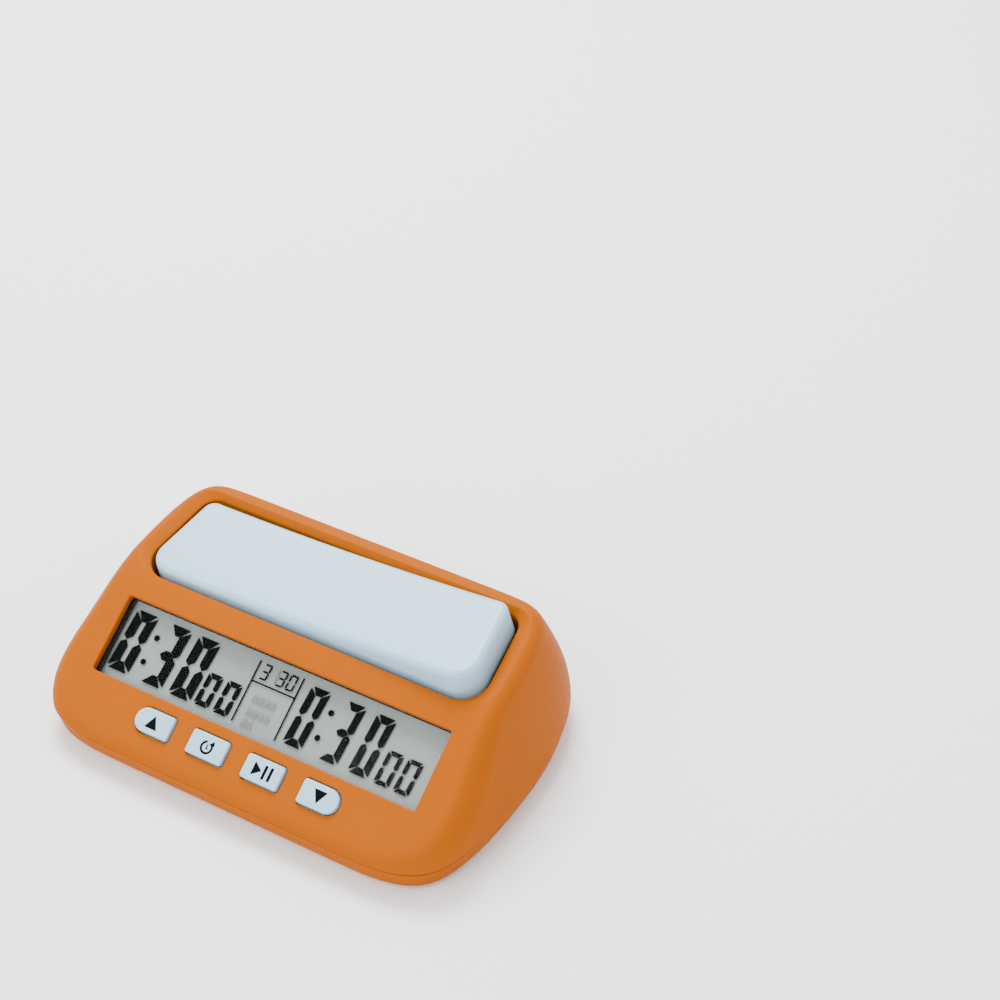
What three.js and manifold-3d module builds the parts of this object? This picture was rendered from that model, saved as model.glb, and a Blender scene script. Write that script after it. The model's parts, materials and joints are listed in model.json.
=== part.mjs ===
// Digital chess clock: a two-part casing with a tilting lever on top, a display window and four keys.
// Millimetres, +Z up, front towards -Y, origin on the table under the middle of the clock.
import * as THREE from "three";
import { mergeVertices } from "three/addons/utils/BufferGeometryUtils.js";
import Module from "manifold-3d";

const wasm = await Module();
wasm.setup();

const GAP = 0.3; // clearance left between pieces that meet
const degrees = THREE.MathUtils.degToRad;

// Casing
const BASE_Z = 1.2; // underside of the lower shell, standing on its feet
const SEAM_Z = 8.35; // height of the joint between the two shells
const WALL = 2;
const FLOOR_TOP = BASE_Z + WALL;
const CASE = {
  seam: { halfWidth: 75, front: -51.5, back: 52.2, frontPower: [10.3, 2.5], backPower: [6.5, 1.95] },
  ridge: { halfWidth: 64.3, front: -51, back: 33.4, frontPower: [19, 9.6], backPower: [17.8, 3] },
  ridgeZ: 44,
  flareWidth: 0.9, // how soon the sides lean in, going up: below 1 is full
  flareBack: 1,
};
const PANEL = { slope: degrees(32.6), y: -35.3, z: 20.3 }; // display panel, at the window's lower edge
const TOP = { slope: degrees(9.9), y: -6.6, z: 38.65 }; // ridge around the lever, at its front edge
const BLEND = { crease: 3, top: 4, side: 8.1 }; // widths over which the casing's faces run together
const LIP = { inset: 3.2, lean: 1, rise: 0.8, thickness: 0.9 }; // lower shell's rim, inside the upper shell
const OUTER_SIDES = 60;
const INNER_SIDES = 36;
const DOME_CENTRE = new THREE.Vector3(0, 8, SEAM_Z + GAP / 2);

// Display, in the panel's frame: x across, y up the slope, z outwards
const WINDOW = { halfWidth: 57, height: 24.6 };
const LENS = { halfWidth: 58.6, low: -1.3, high: 26, top: -2.3, bottom: -2.9 };
const GASKET = { rim: 0.7, top: -3.2, bottom: -3.9 };
const LCD = { halfWidth: 58, low: -1.2, high: 25.8, top: -4.2, bottom: -6.2 };
const HOLDER = { halfWidth: 59.4, low: -1.8, high: 26.4, top: -6.5, bottom: -8.7 };
const ZEBRA = { halfLength: 50, width: 2, lowY: 1, highY: 23.6 };
const KEY_SEAT = { halfWidth: 39, low: -12.7 }; // where the wall is thinned behind the keys
const LEAD_HOLE = { x: -14, y: 22, radius: 1.6 }; // lets the leads of the lever's switches out of its well
const PANEL_FACE = { halfWidth: 61, low: -12.4, high: 26.4, shave: 0.05 }; // the flat part of the display panel
const BOARD = { halfWidth: 64.6, low: -11.3, high: 26.8, top: -9, bottom: -10.6 };

// Keys, in the panel's frame
const KEY = { pitch: 19.54, width: 12.7, height: 7.4, y: -7.33, proud: 1, flange: 1.1, corner: 0.9 };
const KEY_NAMES = ["up", "reset", "start_pause", "down"];
const KEY_GAP = 0.4;
const SWITCH = { side: 6, top: -5.9, bore: 2, boreDepth: 2.1, plunger: 1.6, plungerTop: -4.6, plungerFoot: -7 };

// Lever, in the ridge's frame: x across, y backwards, z outwards
const LEVER = {
  front: 0.8, back: 32.6, frontHalf: 59.2, backHalf: 55.1, frontCorner: 8, backCorner: 4.5, spans: 8,
  top: 3.9, dip: 2.1, foot: -7.5, skirt: -3, wall: 1.8, edge: 2, draft: 0.6, // the top sags by dip
};
const WELL = {
  front: -0.2, back: 33.7, frontHalf: 60.3, backHalf: 56.2, frontCorner: 8.8, backCorner: 5.2, spans: 1,
  floor: -14, skin: 1.6, mouth: -1.6, flareSide: 4.2, flareFront: 1.3, flareBack: 2,
};
const PIVOT = { y: 18.5, z: -4.5, pin: 1.4, bore: 1.7, front: 6.3, back: 29.7, tilt: degrees(3.4) };
const HUB = { half: 5.6, front: 9.1, back: 26.9 };
const LUG = { half: 3.6, top: -2.2, thickness: 2.4, frontY: 6.3, backY: 27.3 };
const LEVER_BOARD = { half: 9, front: 11, back: 26, top: -12.5, bottom: -13.7 };
const LEVER_SWITCH = { x: 3.7, side: 6, top: -9.4, bore: 1.9, boreDepth: 2.3, plunger: 1.5, plungerTop: -7.8 };

// Battery bay, feet and screws
const CELL = { radius: 7.2, length: 50.5, y: 26, z: 11 };
const BAY = { half: 30.2, front: 17.8, back: 34.2, top: 19.4, skin: 1.4 };
const DOOR = { half: 31.6, front: 16.2, back: 35.8, top: 3, collar: 1.6 };
const FOOT = { radius: 5, bottom: 0, top: 1.9, places: [[-58, -38], [58, -38], [-54, 36], [54, 36]] };
const CASE_SCREWS = [[-46, -43.2], [46, -43.2], [-61, 22], [61, 22]];
// Screws that close the casing from below
const SCREW = { head: 2.4, headHeight: 1.7, shaft: 1.25, bore: 1.6, boss: 2.8, pillar: 3.6, top: 10.5 };
const BOARD_SCREWS = [[-62.2, 2], [62.2, 2], [-62.2, 22], [62.2, 22]];
const POWER = { x: -22, y: 2, travel: 2.6 };

const ORANGE = 0xd8862f;
const WHITE = 0xdfe6ea;
const BLACK = 0x1c1c1e;
const STEEL = 0xb9bdc2;
const BOARD_GREEN = 0x2f6b43;

// ---- solids and frames

// A solid from a closed surface: points closer than weld become one, and triangles that this closes up go.
function solid(geometry, weld = 1e-4) {
  const bare = geometry.index ? geometry.toNonIndexed() : geometry.clone();
  bare.deleteAttribute("normal");
  bare.deleteAttribute("uv");
  const merged = mergeVertices(bare, weld);
  const kept = [];
  for (let i = 0; i < merged.index.count; i += 3) {
    const [a, b, c] = merged.index.array.slice(i, i + 3);
    if (a !== b && b !== c && c !== a) kept.push(a, b, c);
  }
  return new wasm.Manifold(
    new wasm.Mesh({
      numProp: 3,
      vertProperties: merged.attributes.position.array,
      triVerts: new Uint32Array(kept),
    }),
  );
}

function surfaceOf(shape) {
  const { vertProperties, triVerts } = shape.getMesh();
  const surface = new THREE.BufferGeometry();
  surface.setAttribute("position", new THREE.BufferAttribute(new Float32Array(vertProperties), 3));
  surface.setIndex(new THREE.BufferAttribute(new Uint32Array(triVerts), 1));
  return surface;
}

// The same solid with points closer than a hundredth of a millimetre drawn together.
const tidied = (shape) => solid(surfaceOf(shape), 0.01);

function frame(origin, slope) {
  const across = new THREE.Vector3(1, 0, 0);
  const along = new THREE.Vector3(0, Math.cos(slope), Math.sin(slope));
  const out = new THREE.Vector3(0, -Math.sin(slope), Math.cos(slope));
  return new THREE.Matrix4().makeBasis(across, along, out).setPosition(origin);
}

const WORLD = new THREE.Matrix4();
const PANEL_FRAME = frame(new THREE.Vector3(0, PANEL.y, PANEL.z), PANEL.slope);
const TOP_FRAME = frame(new THREE.Vector3(0, TOP.y, TOP.z), TOP.slope);
const LEVER_FRAME = TOP_FRAME.clone()
  .multiply(new THREE.Matrix4().makeTranslation(0, PIVOT.y, PIVOT.z))
  .multiply(new THREE.Matrix4().makeRotationY(-PIVOT.tilt))
  .multiply(new THREE.Matrix4().makeTranslation(0, -PIVOT.y, -PIVOT.z));

function block(x0, x1, y0, y1, z0, z1, place = WORLD) {
  const box = new THREE.BoxGeometry(x1 - x0, y1 - y0, z1 - z0);
  box.translate((x0 + x1) / 2, (y0 + y1) / 2, (z0 + z1) / 2);
  return solid(box.applyMatrix4(place));
}

function post(x, y, z0, z1, radius, place = WORLD, sides = 16) {
  const cylinder = new THREE.CylinderGeometry(radius, radius, z1 - z0, sides);
  cylinder.rotateX(Math.PI / 2).translate(x, y, (z0 + z1) / 2);
  return solid(cylinder.applyMatrix4(place));
}

function rodAlongY(x, z, y0, y1, radius, place = WORLD, sides = 16) {
  const cylinder = new THREE.CylinderGeometry(radius, radius, y1 - y0, sides);
  return solid(cylinder.translate(x, (y0 + y1) / 2, z).applyMatrix4(place));
}

function slab(outline, z0, z1, place = WORLD) {
  const prism = new THREE.ExtrudeGeometry(new THREE.Shape(outline), {
    depth: z1 - z0,
    bevelEnabled: false,
  });
  return solid(prism.translate(0, 0, z0).applyMatrix4(place));
}

// A closed skin through a stack of rings with equal numbers of points, its ends fanned from their middles.
// A zipped top needs no end: its last ring is already drawn together into a line.
function loft(rings, place = WORLD, zipped = false) {
  const count = rings[0].length;
  const points = rings.flat();
  const faces = [];
  for (let i = 0; i < count; i++) {
    const next = (i + 1) % count;
    for (let low = 0; low + count < points.length; low += count) {
      faces.push(low + i, low + next, low + next + count, low + i, low + next + count, low + i + count);
    }
    const last = count * (rings.length - 1);
    faces.push(points.length, next, i);
    if (!zipped) faces.push(points.length + 1, last + i, last + next);
  }
  const middles = [rings[0], rings.at(-1)].map((ring) => {
    const sum = ring.reduce((total, p) => total.add(p), new THREE.Vector3());
    return sum.divideScalar(count);
  });
  const skin = new THREE.BufferGeometry().setFromPoints([...points, ...middles]).setIndex(faces);
  return solid(skin.applyMatrix4(place));
}

function tube(points, radius, steps = 10, sides = 3) {
  const path = new THREE.CatmullRomCurve3(points.map((p) => new THREE.Vector3(...p)));
  const round = new THREE.Shape();
  round.absarc(0, 0, radius, 0, 2 * Math.PI);
  return new THREE.ExtrudeGeometry(round, { steps, curveSegments: sides, extrudePath: path });
}

// A counter-clockwise outline whose corners [x, y, radius] are rounded off. Every other straight run, from the
// first corner on, is cut into spans.
function rounded(corners, steps = 5, spans = 1) {
  const arcs = corners.map(([x, y, radius], i) => {
    const corner = new THREE.Vector2(x, y);
    const before = corners.at(i - 1);
    const after = corners[(i + 1) % corners.length];
    const back = new THREE.Vector2(before[0], before[1]).sub(corner).normalize();
    const ahead = new THREE.Vector2(after[0], after[1]).sub(corner).normalize();
    const half = Math.acos(back.dot(ahead)) / 2;
    const middle = back.clone().add(ahead).normalize();
    const centre = corner.clone().addScaledVector(middle, radius / Math.sin(half));
    const spread = Math.PI / 2 - half;
    const start = Math.atan2(-middle.y, -middle.x) - spread;
    return Array.from({ length: steps + 1 }, (_, k) => {
      const angle = start + (2 * spread * k) / steps;
      return centre.clone().add(new THREE.Vector2(Math.cos(angle), Math.sin(angle)).multiplyScalar(radius));
    });
  });
  return arcs.flatMap((arc, i) => {
    const start = arc.at(-1);
    const end = arcs[(i + 1) % arcs.length][0];
    const cuts = i % 2 === 0 ? spans : 1;
    return [...arc, ...Array.from({ length: cuts - 1 }, (_, k) => start.clone().lerp(end, (k + 1) / cuts))];
  });
}

function rectangle(x0, x1, y0, y1, radius, steps = 3) {
  return rounded([[x0, y0, radius], [x1, y0, radius], [x1, y1, radius], [x0, y1, radius]], steps);
}

// The four-cornered outline shared by the lever and its well, narrower at the back.
function leverOutline(size, inset) {
  const front = Math.max(size.frontCorner - inset, 0.5);
  const back = Math.max(size.backCorner - inset, 0.5);
  return rounded([
    [-size.frontHalf + inset, size.front + inset, front],
    [size.frontHalf - inset, size.front + inset, front],
    [size.backHalf - inset, size.back - inset, back],
    [-size.backHalf + inset, size.back - inset, back],
  ], 5, size.spans);
}

const atHeight = (outline, z) => outline.map((p) => new THREE.Vector3(p.x, p.y, z));

// ---- casing surface

function smoothMax(a, b, width) {
  const overlap = Math.max(width - Math.abs(a - b), 0) / width;
  return Math.max(a, b) + (overlap * overlap * width) / 4;
}

// Distance outside the casing's sides: a barrel-sided rectangle that shrinks from seam to ridge.
function outsideSides(x, y, z) {
  const { seam, ridge } = CASE;
  const left = Math.max(1 - Math.min(Math.max((z - SEAM_Z) / (CASE.ridgeZ - SEAM_Z), 0), 1.3), 0);
  const rise = 1 - left ** CASE.flareWidth;
  const riseBack = 1 - left ** CASE.flareBack;
  const mix = THREE.MathUtils.lerp;
  const side = y > 0 ? "backPower" : "frontPower";
  const length = y > 0 ? mix(seam.back, ridge.back, riseBack) : -mix(seam.front, ridge.front, rise);
  const powerX = mix(seam[side][0], ridge[side][0], rise);
  const powerY = mix(seam[side][1], ridge[side][1], rise);
  const halfWidth = mix(seam.halfWidth, ridge.halfWidth, rise);
  const across = Math.abs(x) / halfWidth;
  const along = Math.abs(y) / length;
  const slopeX = (powerX * across ** (powerX - 1)) / halfWidth;
  const slopeY = (powerY * along ** (powerY - 1)) / length;
  return (across ** powerX + along ** powerY - 1) / Math.max(Math.hypot(slopeX, slopeY), 0.02);
}

const above = (face, y, z) => (z - face.z) * Math.cos(face.slope) - (y - face.y) * Math.sin(face.slope);

// Distance outside the whole casing: sides, display panel and ridge run smoothly together.
function outsideCase(x, y, z) {
  const lid = smoothMax(above(PANEL, y, z), above(TOP, y, z), BLEND.crease);
  const forward = THREE.MathUtils.clamp((TOP.y + 6 - y) / 20, 0, 1);
  const fullWidth = CASE.seam.halfWidth;
  const sideways = THREE.MathUtils.smoothstep(Math.abs(x), 0.62 * fullWidth, 0.92 * fullWidth);
  const width = THREE.MathUtils.lerp(BLEND.top, BLEND.side, forward * sideways);
  return smoothMax(outsideSides(x, y, z), lid, width);
}

// The point where a ray from the middle of the casing comes within depth of its surface.
function surfacePoint(direction, depth) {
  let inside = 1;
  let outside = 120;
  const point = new THREE.Vector3();
  for (let i = 0; i < 30; i++) {
    const reach = (inside + outside) / 2;
    point.copy(DOME_CENTRE).addScaledVector(direction, reach);
    if (outsideCase(point.x, point.y, point.z) < -depth) inside = reach;
    else outside = reach;
  }
  return point;
}

function rayAt(turn, lift) {
  const flat = Math.cos(lift);
  return new THREE.Vector3(Math.cos(turn) * flat, Math.sin(turn) * flat, Math.sin(lift));
}

// How far a ray has to be lifted, at this turn, to reach the edge between the sides and the lid.
function edgeLift(turn) {
  let low = 0;
  let high = Math.PI / 2;
  for (let i = 0; i < 24; i++) {
    const lift = (low + high) / 2;
    const { x, y, z } = surfacePoint(rayAt(turn, lift), 0);
    const lid = Math.max(above(PANEL, y, z), above(TOP, y, z));
    if (outsideSides(x, y, z) > lid) low = lift;
    else high = lift;
  }
  return low;
}

// The casing's surface, moved in by depth, as rings from the seam up to its edge and over the lid.
function dome(depth, around, bottomZ) {
  const turns = Array.from({ length: around }, (_, i) => (2 * Math.PI * i) / around);
  const edges = turns.map(edgeLift);
  const sideRings = [0, 0.3, 0.6, 0.8, 0.92, 1].map((share) => edges.map((edge) => edge * share));
  const lidRings = [0.06, 0.16, 0.35, 0.65, 0.9].map((share) =>
    edges.map((edge) => THREE.MathUtils.lerp(edge, Math.PI / 2, share)),
  );
  const rings = [...sideRings, ...lidRings].map((lifts) =>
    lifts.map((lift, i) => surfacePoint(rayAt(turns[i], lift), depth)),
  );
  if (bottomZ < rings[0][0].z) {
    rings.unshift(rings[0].map((p) => new THREE.Vector3(p.x, p.y, bottomZ)));
  }
  return loft(rings);
}

// The casing's outline at the seam, moved inwards by inset and put at height z.
function seamRing(inset, z, around = OUTER_SIDES) {
  const ring = Array.from({ length: around }, (_, i) => {
    const turn = (2 * Math.PI * i) / around;
    return surfacePoint(new THREE.Vector3(Math.cos(turn), Math.sin(turn), 0), 0);
  });
  return ring.map((p, i) => {
    const run = ring[(i + 1) % around].clone().sub(ring.at(i - 1)).normalize();
    return new THREE.Vector3(p.x - run.y * inset, p.y + run.x * inset, z);
  });
}

// ---- shells

function leverWell(outer) {
  const { skin, floor, mouth } = WELL;
  const tub = slab(leverOutline(WELL, -skin), floor - skin, 12, TOP_FRAME);
  const hollow = slab(leverOutline(WELL, 0), floor, 12, TOP_FRAME);
  const wide = {
    ...WELL,
    front: WELL.front - WELL.flareFront,
    back: WELL.back + WELL.flareBack,
    frontHalf: WELL.frontHalf + WELL.flareSide,
    backHalf: WELL.backHalf + WELL.flareSide,
    backCorner: WELL.backCorner + WELL.flareBack,
  };
  const flare = loft(
    [atHeight(leverOutline(WELL, 0), mouth), atHeight(leverOutline(wide, 0), 0.2)],
    TOP_FRAME,
  );
  return { tub: tub.intersect(outer), hollow: hollow.add(flare) };
}

function pivotLugs() {
  const lug = (y) =>
    block(-LUG.half, LUG.half, y, y + LUG.thickness, WELL.floor - 0.5, LUG.top, TOP_FRAME);
  const bore = rodAlongY(0, PIVOT.z, LUG.frontY - 1, LUG.backY + LUG.thickness + 1, PIVOT.bore, TOP_FRAME);
  return lug(LUG.frontY).add(lug(LUG.backY)).subtract(bore);
}

function keyOutline(index, grow) {
  const x = (index - 1.5) * KEY.pitch;
  const half = KEY.width / 2 + grow;
  const tall = KEY.height / 2 + grow;
  const square = KEY.corner + Math.max(grow, 0);
  const round = tall - 0.05;
  const left = index === 0 ? round : square;
  const right = index === 3 ? round : square;
  return rounded([
    [x - half, KEY.y - tall, left],
    [x + half, KEY.y - tall, right],
    [x + half, KEY.y + tall, right],
    [x - half, KEY.y + tall, left],
  ], 4);
}

function upperShell() {
  const { halfWidth, low, high, shave } = PANEL_FACE;
  const aboveFace = block(-halfWidth, halfWidth, low, high, -shave, 12, PANEL_FRAME);
  const outer = dome(0, OUTER_SIDES, DOME_CENTRE.z).subtract(aboveFace);
  const inner = dome(WALL, INNER_SIDES, DOME_CENTRE.z - 2);
  const well = leverWell(outer);
  const windowHole = rectangle(-WINDOW.halfWidth, WINDOW.halfWidth, 0, WINDOW.height, 0.8, 2);
  let shell = outer.subtract(inner).add(well.tub).subtract(slab(windowHole, -8, 6, PANEL_FRAME));
  KEY_NAMES.forEach((_, i) => {
    shell = shell.subtract(slab(keyOutline(i, KEY_GAP), -8, 6, PANEL_FRAME));
  });
  const { x, y, radius } = LEAD_HOLE;
  const leadHole = post(x, y, WELL.floor - 4, WELL.floor + 2, radius, TOP_FRAME, 10);
  const seatHalf = HOLDER.halfWidth + 0.4;
  const displaySeat = block(-seatHalf, seatHalf, HOLDER.low - 0.2, HOLDER.high + GAP, -14, -WALL, PANEL_FRAME);
  const keyHalf = KEY_SEAT.halfWidth;
  const keySeat = block(-keyHalf, keyHalf, KEY_SEAT.low, HOLDER.low, -10, -WALL, PANEL_FRAME);
  shell = shell.subtract(leadHole).subtract(displaySeat).subtract(keySeat);
  CASE_SCREWS.forEach(([x, y]) => {
    const boss = post(x, y, FLOOR_TOP + 2.2, 45, SCREW.boss).intersect(outer);
    shell = shell.add(boss).subtract(post(x, y, 0, SCREW.top + GAP, SCREW.bore, WORLD, 10));
  });
  BOARD_SCREWS.forEach(([x, y]) => {
    const boss = post(x, y, BOARD.top + GAP, 4, 2.2, PANEL_FRAME, 12).intersect(outer);
    shell = shell.add(boss).subtract(post(x, y, BOARD.top - 1, -4, 1.2, PANEL_FRAME, 8));
  });
  return tidied(shell.subtract(well.hollow).add(pivotLugs()));
}

function lowerShell() {
  const bottomRadius = 2;
  const outerRing = (z) => {
    const height = z - BASE_Z;
    const lean = 1.4 * (1 - height / (SEAM_Z - BASE_Z));
    const drop = Math.max(bottomRadius - height, 0);
    const curl = bottomRadius - Math.sqrt(bottomRadius ** 2 - drop ** 2);
    return seamRing(0.4 + lean + curl, z);
  };
  const rim = SEAM_Z - GAP / 2;
  const outer = loft([0, 0.6, 1.6, 3, rim - BASE_Z].map((h) => outerRing(BASE_Z + h)));
  const lip = loft([
    seamRing(LIP.inset, rim - 2, INNER_SIDES),
    seamRing(LIP.inset + LIP.lean, rim + LIP.rise, INNER_SIDES),
  ]);
  const hollow = loft([
    seamRing(LIP.inset + 2.4, FLOOR_TOP, INNER_SIDES),
    seamRing(LIP.inset + LIP.lean + LIP.thickness, rim + 3, INNER_SIDES),
  ]);
  let tray = outer.add(lip).subtract(hollow);
  CASE_SCREWS.forEach(([x, y]) => {
    tray = tray
      .subtract(post(x, y, FLOOR_TOP + 1.6, SEAM_Z + 4, SCREW.boss + 0.5))
      .add(post(x, y, BASE_Z + 0.5, FLOOR_TOP + 1.9, SCREW.pillar))
      .subtract(post(x, y, 0, BASE_Z + 0.4 + SCREW.headHeight, SCREW.head + GAP, WORLD, 14))
      .subtract(post(x, y, 0, 9, SCREW.bore, WORLD, 10));
  });
  FOOT.places.forEach(([x, y]) => {
    tray = tray.subtract(post(x, y, 0, FOOT.top + GAP, FOOT.radius + GAP, WORLD, 20));
  });
  tray = tray.add(batteryBay()).subtract(bayHollow());
  return tidied(tray.subtract(block(POWER.x - 4, POWER.x + 4, POWER.y - 1.7, POWER.y + 1.7, 0, 5)));
}

function batteryBay() {
  const { half, front, back, top, skin } = BAY;
  const walls = block(-half - skin, half + skin, front - skin, back + skin, BASE_Z + 0.5, top + skin);
  const edge = GAP + DOOR.collar;
  return walls.add(
    block(-DOOR.half - edge, DOOR.half + edge, DOOR.front - edge, DOOR.back + edge, BASE_Z + 0.5, 5),
  );
}

function bayHollow() {
  const room = block(-BAY.half, BAY.half, BAY.front, BAY.back, 0, BAY.top);
  const rebate = block(
    -DOOR.half - GAP, DOOR.half + GAP, DOOR.front - GAP, DOOR.back + GAP, 0, DOOR.top + GAP,
  );
  const leadHoles = [-1, 1].map((side) => post(side * (BAY.half - 2.5), CELL.y, BAY.top - 1, 24, 1.8, WORLD, 8));
  return room.add(rebate).add(leadHoles[0]).add(leadHoles[1]);
}

// ---- display

function displayWindow() {
  return block(-LENS.halfWidth, LENS.halfWidth, LENS.low, LENS.high, LENS.bottom, LENS.top, PANEL_FRAME);
}

function displayGasket() {
  const { rim, top, bottom } = GASKET;
  const ring = block(-LCD.halfWidth, LCD.halfWidth, LCD.low, LCD.high, bottom, top, PANEL_FRAME);
  const half = WINDOW.halfWidth - rim;
  return ring.subtract(block(-half, half, 0.2, WINDOW.height - 0.2, bottom - 1, top + 1, PANEL_FRAME));
}

function lcdGlass() {
  return block(-LCD.halfWidth, LCD.halfWidth, LCD.low, LCD.high, LCD.bottom, LCD.top, PANEL_FRAME);
}

const zebraRows = { lower: ZEBRA.lowY, upper: ZEBRA.highY };

function zebraStrip(y, grow = 0) {
  const half = ZEBRA.halfLength + grow;
  const deep = ZEBRA.width / 2 + grow;
  return block(-half, half, y - deep, y + deep, HOLDER.bottom - grow, HOLDER.top + grow, PANEL_FRAME);
}

function lcdHolder() {
  const { halfWidth, low, high, bottom, top } = HOLDER;
  const inset = 4.4;
  let holder = block(-halfWidth, halfWidth, low, high, bottom, top, PANEL_FRAME).subtract(
    block(-52, 52, low + inset, high - inset, bottom - 1, top + 1, PANEL_FRAME),
  );
  Object.values(zebraRows).forEach((y) => {
    holder = holder.subtract(zebraStrip(y, GAP));
  });
  return holder;
}

function mainBoard() {
  const { halfWidth, low, high, bottom, top } = BOARD;
  const outline = [
    [-halfWidth + 9, low], [halfWidth - 9, low], [halfWidth, low + 9], [halfWidth, high],
    [-halfWidth, high], [-halfWidth, low + 9],
  ].map(([x, y]) => new THREE.Vector2(x, y));
  let board = slab(outline, bottom, top, PANEL_FRAME);
  BOARD_SCREWS.forEach(([x, y]) => {
    board = board.subtract(post(x, y, bottom - 1, top + 1, 1.3, PANEL_FRAME, 8));
  });
  return board;
}

const underBoard = (x0, x1, y0, y1, height) =>
  block(x0, x1, y0, y1, BOARD.bottom - GAP - height, BOARD.bottom - GAP, PANEL_FRAME);

function crystal() {
  const can = rectangle(-29, -21, 10.4, 13.6, 1.5, 4);
  return slab(can, BOARD.bottom - GAP - 3.4, BOARD.bottom - GAP, PANEL_FRAME);
}

function buzzer() {
  const below = BOARD.bottom - GAP;
  const can = post(34, 14, below - 6.5, below, 6, PANEL_FRAME, 24);
  return can.subtract(post(34, 14, below - 8, below - 5, 1.2, PANEL_FRAME, 10));
}

// ---- keys

function key(index) {
  const bevel = 0.35;
  const cap = loft(
    [
      atHeight(keyOutline(index, 0), -3.2),
      atHeight(keyOutline(index, 0), KEY.proud - bevel),
      atHeight(keyOutline(index, -bevel), KEY.proud),
    ],
    PANEL_FRAME,
  );
  const flange = slab(keyOutline(index, KEY.flange), -3.6, -WALL - GAP, PANEL_FRAME);
  const x = (index - 1.5) * KEY.pitch;
  const stem = post(x, KEY.y, SWITCH.plungerTop + GAP, -3, 1.8, PANEL_FRAME, 12);
  return cap.add(flange).add(stem);
}

function keySwitch(index) {
  const x = (index - 1.5) * KEY.pitch;
  const half = SWITCH.side / 2;
  const can = block(
    x - half, x + half, KEY.y - half, KEY.y + half, BOARD.top + GAP, SWITCH.top, PANEL_FRAME,
  );
  return can.subtract(post(x, KEY.y, SWITCH.top - SWITCH.boreDepth, 0, SWITCH.bore, PANEL_FRAME, 12));
}

function keyPlunger(index) {
  const x = (index - 1.5) * KEY.pitch;
  return post(x, KEY.y, SWITCH.plungerFoot, SWITCH.plungerTop, SWITCH.plunger, PANEL_FRAME, 12);
}

// ---- lever and its switches

// One ring of the lever's skin. Above its skirt the skin sags towards the middle of the lever.
function leverRing(inset, z) {
  const { skirt, top, edge, dip, frontHalf } = LEVER;
  const share = THREE.MathUtils.clamp((z - skirt) / (top - edge - skirt), 0, 1);
  return leverOutline(LEVER, inset).map((p) => {
    const middle = 1 - (p.x / frontHalf) ** 2;
    return new THREE.Vector3(p.x, p.y, z - dip * middle * share);
  });
}

// The ring drawn together into one line along the lever: each front point meets its back point.
const spine = (ring) => ring.map((p, i) => p.clone().add(ring.at(-1 - i)).divideScalar(2));

function lever() {
  const { foot, skirt, top, dip, edge, draft, wall } = LEVER;
  const rings = [leverRing(0, foot), leverRing(draft / 2, skirt), leverRing(draft, top - edge)];
  [30, 60, 90].forEach((turn) => {
    const inset = draft + edge * (1 - Math.cos(degrees(turn)));
    rings.push(leverRing(inset, top - edge * (1 - Math.sin(degrees(turn)))));
  });
  const ceiling = leverRing(wall + draft, top).map((p) => p.setZ(p.z - wall));
  const hollow = [atHeight(leverOutline(LEVER, wall), foot - 1), ceiling, spine(ceiling)];
  const hub = block(-HUB.half, HUB.half, HUB.front, HUB.back, foot, top - dip - 0.9, LEVER_FRAME);
  const bore = rodAlongY(0, PIVOT.z, HUB.front - 1, HUB.back + 1, PIVOT.bore, LEVER_FRAME);
  const shell = loft([...rings, spine(rings.at(-1))], LEVER_FRAME, true);
  return shell.subtract(loft(hollow, LEVER_FRAME, true)).add(hub).subtract(bore);
}

function pivotPin() {
  return rodAlongY(0, PIVOT.z, PIVOT.front, PIVOT.back, PIVOT.pin, TOP_FRAME);
}

function leverBoard() {
  const { half, front, back, bottom, top } = LEVER_BOARD;
  return block(-half, half, front, back, bottom, top, TOP_FRAME);
}

function leverSwitch(side) {
  const { side: width, top, bore, boreDepth } = LEVER_SWITCH;
  const x = side * LEVER_SWITCH.x;
  const half = width / 2;
  const can = block(
    x - half, x + half, PIVOT.y - half, PIVOT.y + half, LEVER_BOARD.top + GAP, top, TOP_FRAME,
  );
  return can.subtract(post(x, PIVOT.y, top - boreDepth, top + 1, bore, TOP_FRAME, 12));
}

function leverPlunger(side) {
  const lift = side * LEVER_SWITCH.x * Math.sin(PIVOT.tilt);
  const top = LEVER_SWITCH.plungerTop + lift;
  return post(side * LEVER_SWITCH.x, PIVOT.y, top - 3, top, LEVER_SWITCH.plunger, TOP_FRAME, 12);
}

// ---- battery

function batteryCell() {
  const half = CELL.length / 2;
  const profile = [
    [0, -half], [CELL.radius - 0.5, -half], [CELL.radius, -half + 0.5], [CELL.radius, half - 2],
    [CELL.radius - 0.6, half - 1.4], [2.8, half - 1.2], [2.7, half], [0, half],
  ].map(([r, z]) => new THREE.Vector2(r, z));
  const body = new THREE.LatheGeometry(profile, 24);
  return solid(body.rotateZ(-Math.PI / 2).translate(1.2, CELL.y, CELL.z));
}

function batterySpring() {
  const turns = 3;
  const start = -BAY.half + 1;
  const reach = 1.2 - CELL.length / 2 - GAP - start - 0.5;
  const points = Array.from({ length: 8 * turns + 1 }, (_, i) => {
    const turn = (i / 8) * 2 * Math.PI;
    const radius = 4.6 - (1.6 * i) / (8 * turns);
    const along = start + (reach * i) / (8 * turns);
    return [along, CELL.y + radius * Math.cos(turn), CELL.z + radius * Math.sin(turn)];
  });
  return solid(tube(points, 0.4, 10 * turns, 3));
}

function batteryContact() {
  const x = BAY.half - GAP;
  return block(x - 0.6, x, CELL.y - 5, CELL.y + 5, CELL.z - 5, CELL.z + 5);
}

function batteryDoor() {
  const plate = block(-DOOR.half, DOOR.half, DOOR.front, DOOR.back, BASE_Z, DOOR.top);
  const grip = block(-6, 6, DOOR.front + 2, DOOR.front + 5, 0, BASE_Z + 0.8);
  return plate.subtract(grip);
}

// ---- fastenings, feet and power switch

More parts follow.
